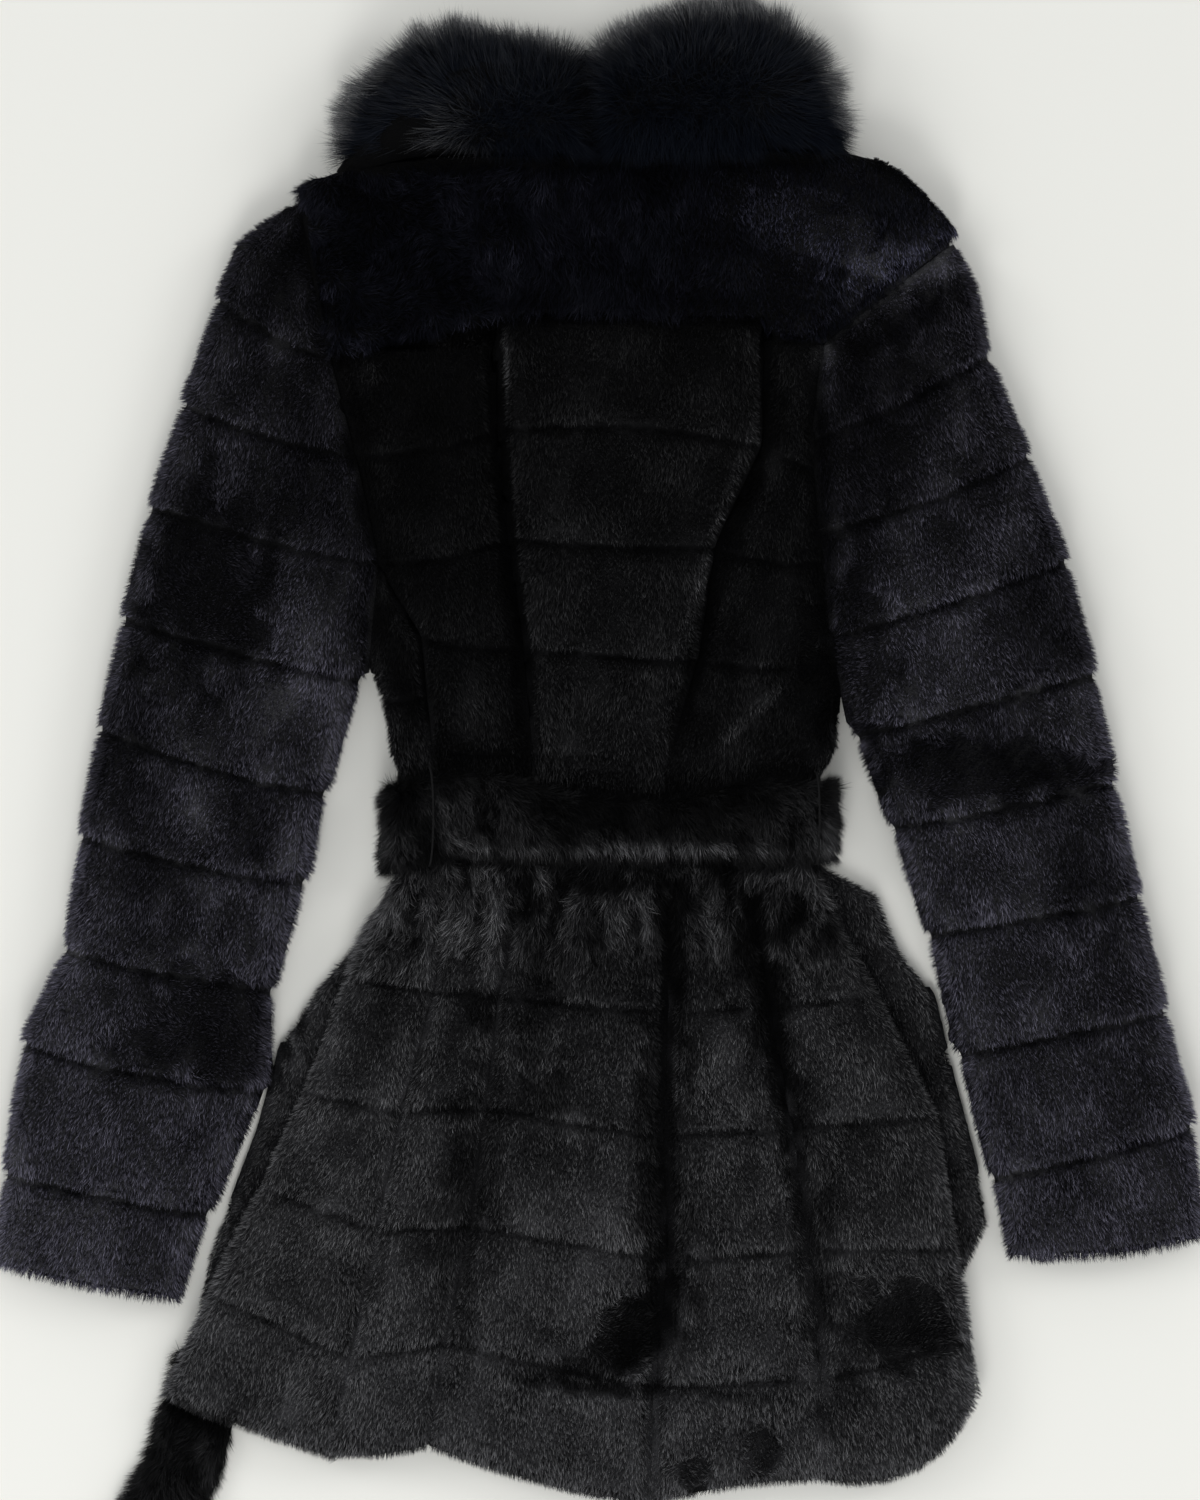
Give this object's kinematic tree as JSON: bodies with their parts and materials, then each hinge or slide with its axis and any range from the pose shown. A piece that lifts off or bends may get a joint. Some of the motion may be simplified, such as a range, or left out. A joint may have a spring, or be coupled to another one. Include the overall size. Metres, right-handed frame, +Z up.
{
  "type": "fur coat",
  "caption": "Short sheared-fur coat with a long-haired collar, shingled tiers, a gathered skirt and a fur belt, laid face down and flat.",
  "frame": {"origin": "on the surface that the coat lies on, under the middle of the back waist", "axes": "+Y runs from the waist to the collar, +X to the wearer's right, +Z up out of the surface, towards the back of the coat"},
  "size_m": [0.73, 0.9981, 0.07],
  "materials": {
    "sheared_fur": "matt, short dense sheared fur, black",
    "long_fur": "soft sheen, long loose fur, black",
    "thread": "matt twisted thread, black"
  },
  "bodies": {
    "root": {"back_yoke": "sheared_fur", "back_left": "sheared_fur", "back_centre": "sheared_fur", "back_right": "sheared_fur", "side_left": "sheared_fur", "skirt_1": "sheared_fur", "skirt_2": "sheared_fur", "skirt_3": "sheared_fur", "skirt_4": "sheared_fur", "skirt_5": "sheared_fur", "front_left": "sheared_fur", "front_right": "sheared_fur", "sleeve_left": "sheared_fur", "sleeve_right": "sheared_fur", "collar_left": "long_fur", "collar_right": "long_fur", "belt_back": "sheared_fur", "belt_end": "sheared_fur", "belt_loop_left": "thread", "belt_loop_right": "thread"}
  },
  "joints": []
}
